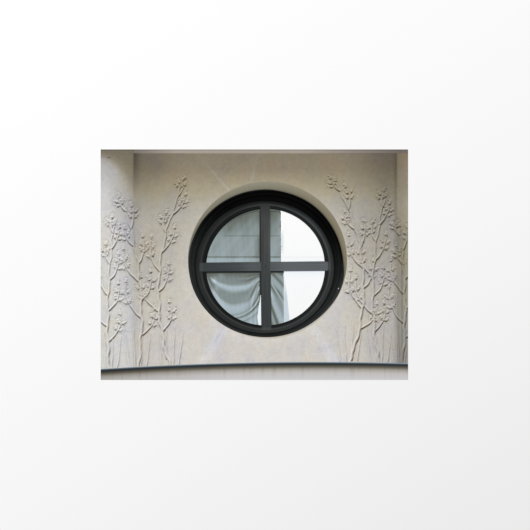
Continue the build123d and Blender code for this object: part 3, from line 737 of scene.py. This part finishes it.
def flat_tone(x, z):
    """Tone of the flat curtain: lighter downwards, rippled by its hang, with dark tucks and a light hem. It
    is darker to the left above, and close to the upright bar below."""
    tone = np.interp(z, (-4, 12, 13.2, 14.2, 16.6, 17.6, 57, 80, 107),
                     (0.64, 0.63, 0.59, 0.51, 0.49, 0.54, 0.50, 0.39, 0.18))
    tone += ripple(x + 0.10*z, (7.1, 0.008, 0.3), (11.7, 0.010, 1.9), (31.0, 0.018, 0.8))
    tone += ripple(x - 0.8*z, (47.0, 0.020, 0.0), (19.0, 0.012, 2.0))
    upper = ramp(z, 50, 20)
    tone += upper*np.interp(x, (-95, -45, -15, 5, 32, 57), (-0.14, -0.08, -0.03, 0.03, -0.08, 0.17))
    tone += (1 - upper)*np.interp(x, (-6, 0, 4, 8, 20, 30), (0.0, -0.06, -0.13, -0.20, -0.20, 0.0))
    tone -= 0.27*bell(z, TUCKS[1], 0.8) + 0.14*bell(z, HEM, 0.7)
    tone -= 0.18*bell(z, TUCKS[0], 0.9)*ramp(x, -62, 6)
    return tone - 0.30*ramp(from_middle(x, z), 0.985, 0.012)*ramp(z, 75, 15)


def swag_tone(x, z):
    """Tone of the gathered curtain. A swag hangs from the gather to a place as high on the left: its drop is
    fold * along^0.65 * (span - along)^0.86, and the tone runs from fold to fold. Near the gather there are
    crisp pleats between them, which lean outwards on their way down. Low down, where the cloth turns round
    under the swags, the tone runs by the distance from the turn's middle. It is darker close under the cross
    bar."""
    along = np.hypot(np.clip(GATHER[0] - x, 0.3, SWAG_SPAN - 2), 5.0)
    down = np.clip(GATHER[1] - z, 0, None)
    fold = down/(along**0.65*(SWAG_SPAN - along)**0.86)
    fold *= np.interp(along, (14, 22, 34, 45, 60, 80), (0.94, 0.92, 1.0, 1.0, 0.965, 0.94))
    lower = ramp(fold, 0.11, 0.03)
    fold *= 1 - lower*np.interp(along, (40, 60, 80, 95), (0.01, 0.025, 0.045, 0.02))
    tone = np.interp(fold, *SWAG_TONES)
    tone = 0.42 + (tone - 0.42)*np.where(fold < 0.11, ramp(x, -95, 14), 1)
    turn = np.interp(np.hypot(x - TWIST[0], z - TWIST[1]), *TURN_TONES)
    share = ramp(fold, 0.18, 0.05)
    tone = tone*(1 - share) + turn*share
    pleat = np.interp(np.log(fold + 0.002) - 0.011*down, *PLEAT_TONES)
    tone += pleat*bell(along, 0, 27)*(1 - 0.5*share)
    tone += (1 - ramp(fold, 0, 0.05))*(0.14*bell(x, -66, 6) - 0.05*bell(x, -84, 5))
    tone += 0.22*bell(x, -80, 5)*bell(z, -31, 5) + 0.12*bell(x, -75, 6)*bell(z, -46, 6)
    at_rim = bell(from_middle(x, z), 0.985, 0.05)
    at_rim *= np.interp(z, (-75, -55, -45, -35, -24, -15), (0.06, 0.02, -0.30, -0.24, -0.20, -0.05))
    tone += at_rim*ramp(-x, 40, 30)
    return tone - 0.40*np.exp((z - UNDER_BAR)/6) + ripple(x + 0.15*z, (5.3, 0.008, 0.2), (9.1, 0.010, 1.2))


def fan_tone(x, z):
    """Tone of the folds that fan out to the right, by their slope in degrees down from a point behind the
    bar, at three heights; darker close under the cross bar, and lighter along the selvage at the right, which
    turns away to the sky at its top."""
    slope = np.degrees(np.arctan2(FAN[1] - z, x - FAN[0]))
    tone = sum(np.interp(slope, FAN_TONES[0], tones)*np.interp(z, FAN_HEIGHTS[::-1], np.eye(3)[2 - place])
               for place, tones in enumerate(FAN_TONES[1:]))
    tone += 0.7*ramp(x, 57.0, 0.6)*ramp(z, -26, 4)
    tone += np.interp(z, (-100, -90), (0.05, 0.18))*ramp(x, 56.2, 1)
    return tone - 0.36*np.exp((z - UNDER_BAR)/6)


def beside_bars(x, z, tone):
    """A tone with the dark lines of painted shade where the curtain meets the bars: 2 mm wide at the left of
    the upright, 1 to 2 mm and fainter at its right, half a millimetre above the cross bar and 1 mm below it."""
    edge = LINE_RIGHT + ramp(-z, 62, 6)
    right = ramp(edge - x, 0, LINE_EDGE)*np.where(z < BAR[1], 0.6, 0.2)
    line = np.where(x < BAR[0], ramp(x, LINE_LEFT, LINE_EDGE), right)
    line = np.maximum(line, (z < BAR[1])*ramp(z - BAR_RISE*x, LINE_BELOW, LINE_EDGE))
    over = (z > BAR[1])*ramp(LINE_ABOVE + OVER_RISE*x - z, 0, LINE_EDGE)
    return tone*(1 - over)*(1 - line) - 0.35*line


def cloth(tree, place, *_):
    """The curtain's tone turned into its colours, with the cloth's slubs, 5 mm long, across it."""
    tone = add(tree, "Attribute", out=2, attribute_name="tone")
    colour = add(tree, "ValToRGB", tone, stops=(
        (-0.40, "#26282a"), (0.0, "#464c47"), (0.28, "#6a706a"), (0.40, "#7d8888"), (0.50, "#8c9798"),
        (0.60, "#97a5a9"), (0.72, "#a6b5bd"), (0.86, "#b8c7cf"), (1.0, "#cbd8e0"), (1.3, "#f3f6f8")))
    turned = add(tree, "Mapping", place, sockets={3: (420.0, 1.0, 160.0)})
    slubs = add(tree, "TexNoise", sockets={"Vector": turned, "Scale": 1.0, "Detail": 2.0})
    slubs = add(tree, "MapRange", slubs, *NOISE_SPAN, 0.955, 1.045)
    return add(tree, "VectorMath", colour, slubs, operation="MULTIPLY")


curtain = finish("printed_curtain_cloth", cloth, 0.55, 0.08)


def hang(name, foot, head, left, right, tone):
    """One panel of the curtain: rows 0.8 mm apart from its foot to its head, each from its left edge to its
    right one, which are functions of the height."""
    up = np.linspace(foot, head, int((head - foot)/GRID) + 2)[:, None]
    share = np.linspace(0, 1, int((right(up) - left(up)).max()/GRID) + 2)[None, :]
    across = left(up) + (right(up) - left(up))*share
    up = np.broadcast_to(up, across.shape)
    cells = np.ones((up.shape[0] - 1, up.shape[1] - 1), bool)
    tones = beside_bars(across, up, tone(across, up))
    piece = coat(name, across/1000, up/1000, cells, HUNG_FRONT, HUNG_DEPTH, tone=tones)
    piece.data.materials.append(curtain)
    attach(piece, "root")
    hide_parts("print_curtain", "print_swag", "print_curtain_folds", "print_blind_lines")


def rim(z):
    """Half width of the glass at a height, from the oval's equation."""
    return GLASS_HALF[0]*np.sqrt(np.clip(1 - ((z - GLASS_MIDDLE[1])/GLASS_HALF[1])**2, 0, None))


def glass_left(z):
    """The glass's left edge."""
    return GLASS_MIDDLE[0] - rim(z)


def free_edge(z):
    """The flat curtain's hanging edge, which wavers a little."""
    edge = BAR[0] + SELVAGE + ripple(z, (29.0, 0.8, 0.5), (8.7, 0.45, 0.0), (5.1, 0.25, 1.0))
    return np.minimum(edge - 0.9*ramp(z, 58, 6), GLASS_MIDDLE[0] + rim(z))


def gap_edge(z):
    """Right edge of the swags: beside the upright bar, and further left down where a gap opens, which closes
    a little again at its foot."""
    share = ramp(-z, -GAP_TOP, GAP_TOP - GLASS_FOOT)
    bowed = np.interp(z, (-119, -104, -92, -75, -60), (8.2, 5.8, 6.5, 10.2, 12.1))
    return np.where(z > GAP_TOP, BAR[0], np.maximum(12.1 - 8.5*share, bowed))


def behind_bar(z):
    """A straight edge down the middle of the upright bar."""
    return BAR[0] + 0*z


def fan_edge(z):
    """Right edge of the folds, along the gauze and then along the glass's edge."""
    return np.minimum(BAR[0] + LINING_EDGE, GLASS_MIDDLE[0] + rim(z))


hang("flat_curtain", BAR[1], GLASS_HEAD - 0.02, glass_left, free_edge, flat_tone)
hang("swagged_curtain", GLASS_FOOT + 0.4, BAR[1], glass_left, gap_edge, swag_tone)
hang("fanned_curtain", GLASS_FOOT + 0.4, BAR[1], behind_bar, fan_edge, fan_tone)


def gauze(tree, place, x, z):
    """The curtain's thin lining, which lets the sky through, lighter towards its edges and above, where it
    nearly vanishes."""
    net = add(tree, "ValToRGB", x, stops=((0.0588, "#d6e1e9"), (0.0605, "#c3cfd8"), (0.074, "#cad5dd")))
    net = blended(tree, z, -0.062, -0.030, net, linear("#f0f5f8"))
    return uneven(tree, net, place, 0.005, 0.03)


dress(finish("printed_gauze", gauze, 0.5, 0.1), "print_gauze")

# Glazing bars
# Two flat steel bars, crossing with a rivet, under grey lacquer: the upright darker, with a thin painted
# shade down its left edge, and the cross bar lighter to the right. It throws a dark line of painted shadow on
# the curtains below it.


def bar_lacquer(tree, place, x, z):
    """The colours of both bars, their streaks along each, the painted shade down the upright's left edge and
    the rivet's spot."""
    aside, above, in_upright, in_cross = from_bars(tree, x, z)
    cross = add(tree, "ValToRGB", x, stops=(
        (-0.105, "#383d40"), (-0.060, "#3d4144"), (-0.030, "#434749"), (-0.006, "#515456"),
        (0.030, "#515457"), (0.062, "#5c5f62"), (0.100, "#5d6063"), (0.140, "#5a5d60")))
    upright = add(tree, "ValToRGB", z, stops=((-0.12, "#383c3d"), (-0.02, "#3d4040"), (0.04, "#444646"),
                                              (0.09, "#414343"), (0.122, "#2f3130")))
    # Brush streaks 2.4 mm wide and 80 mm long, along each bar
    along = add(tree, "Mapping", place, sockets={3: (12.0, 1.0, 420.0)})
    cross = uneven(tree, cross, along, 1.0, 0.12)
    down = add(tree, "Mapping", place, sockets={3: (420.0, 1.0, 12.0)})
    upright = uneven(tree, upright, down, 1.0, 0.14)
    # The upright is lighter to the right, most of all above the crossing
    half = UPRIGHT_HALF/1000
    upright = shaded(tree, upright, (aside, -half, half, -1.0, 1.0),
                     (away(tree, z, 0.035), 0.055, 0.020, 0.03, 0.19))
    bars = add(tree, "Mix", out=2, data_type="RGBA", sockets={
        0: add(tree, "Math", add(tree, "MapRange", in_upright, 0.0, 0.0012),
               add(tree, "MapRange", in_cross, 0.0, -0.001), operation="MAXIMUM"), 6: cross, 7: upright})
    # Painted shade down the upright's left edge, outside the crossing
    edge = within(tree, (aside, -0.0081, -0.0095), (in_cross, 0.0, -0.001))
    bars = add(tree, "Mix", out=2, data_type="RGBA", sockets={0: edge, 6: bars, 7: linear("#1d1c22")})
    spot = add(tree, "VectorMath", add(tree, "CombineXYZ", aside, 0.0, above), out=1, operation="LENGTH")
    return add(tree, "Mix", out=2, data_type="RGBA", sockets={
        0: add(tree, "MapRange", spot, 0.0030, 0.0012, 0.0, 0.6), 6: bars, 7: linear("#2c2e30")})


def bar_shade(tree, _, x, z):
    """Black over the curtains, and beyond them a thin line with the blue of the sky under it."""
    rise = add(tree, "Math", x, BAR_RISE, (BAR[1] - CROSS_HALF)/1000, operation="MULTIPLY_ADD")
    drop = add(tree, "Math", rise, z, operation="SUBTRACT")
    over_curtain = add(tree, "ValToRGB", drop, stops=((0.0, "#141416"), (0.0018, "#1b1d1b"),
                                                      (0.0026, "#3a3e38")))
    over_sky = add(tree, "ValToRGB", drop, stops=((0.0, "#53545f"), (0.0006, "#5f616d"), (0.0013, "#b4b9c6"),
                                                  (0.0020, "#e4eaf1"), (0.0026, "#eaeff5")))
    return blended(tree, x, 0.0575, 0.0595, over_curtain, over_sky)


dress(finish("printed_bar_lacquer", bar_lacquer, 0.5, 0.04), "print_glazing_bars")
dress(finish("printed_bar_shade", bar_shade, 0.5, 0.03), "print_bar_shadow")

# Floor, backdrop, light and camera
# A plain pale floor of painted board, even studio light from all round with a wide soft light at the front, a
# backdrop that only the camera and mirroring surfaces see, and a camera straight before the sheet, which
# takes in 1.05 m across it.

FLOOR_HALF, FLOOR_Z = 1.5, -0.95
CAMERA = (0.021, -3.0, -0.0005)
SENSOR, VIEW_WIDTH = 36.0, 1.051


def painted_board(tree, place, *_):
    """Pale matt paint with faint clouds, 200 mm across."""
    cloud = add(tree, "TexNoise", sockets={"Vector": place, "Scale": 1/0.2, "Detail": 2.0})
    return add(tree, "ValToRGB", cloud, stops=((0.3, "#e9e9e7"), (0.7, "#eeeeec")))


corners = np.array(((-1, -1), (1, -1), (1, 1), (-1, 1)))*FLOOR_HALF
floor_mesh = bpy.data.meshes.new("floor")
floor_mesh.from_pydata(np.column_stack((corners, np.full(4, FLOOR_Z))).tolist(), [], [(0, 1, 2, 3)])
floor = bpy.data.objects.new("floor", floor_mesh)
floor.data.materials.append(finish("painted_board", painted_board, 0.7, 0.2))
bpy.context.scene.collection.objects.link(floor)

world = bpy.data.worlds.new("studio")
bpy.context.scene.world = world
world.use_nodes = True
tree = world.node_tree
tree.nodes.clear()
path = add(tree, "LightPath").node.outputs
seen = add(tree, "Math", path["Is Glossy Ray"], path["Is Transmission Ray"], operation="MAXIMUM")
seen = add(tree, "Math", path["Is Camera Ray"], seen, operation="MAXIMUM")
ray = add(tree, "SeparateXYZ", add(tree, "TexCoord"))
slant = add(tree, "Math", ray, -0.6, ray.node.outputs[2], operation="MULTIPLY_ADD")
grey = add(tree, "ValToRGB", slant, stops=((-0.30, "#e9e9e9"), (-0.05, "#f6f6f6"), (0.20, "#ffffff")))
light = add(tree, "Background", (1.0, 1.0, 1.0, 1.0), 0.80)
backdrop = add(tree, "Background", grey, 1.0)
add(tree, "OutputWorld", add(tree, "MixShader", seen, light, backdrop))

softbox = bpy.data.objects.new("softbox", bpy.data.lights.new("softbox", "AREA"))
softbox.data.shape, softbox.data.size, softbox.data.size_y, softbox.data.energy = "RECTANGLE", 3.0, 3.0, 44.0
softbox.location, softbox.rotation_euler = (-1.0, -3.2, 1.6), (math.radians(63), 0.0, math.radians(-17))
bpy.context.scene.collection.objects.link(softbox)

camera = bpy.data.objects.new("camera", bpy.data.cameras.new("camera"))
camera.location, camera.rotation_euler = CAMERA, (math.pi/2, 0.0, 0.0)
camera.data.sensor_width, camera.data.lens = SENSOR, SENSOR*-CAMERA[1]/VIEW_WIDTH
bpy.context.scene.collection.objects.link(camera)
bpy.context.scene.camera = camera

bpy.context.scene.view_settings.view_transform = "Standard"
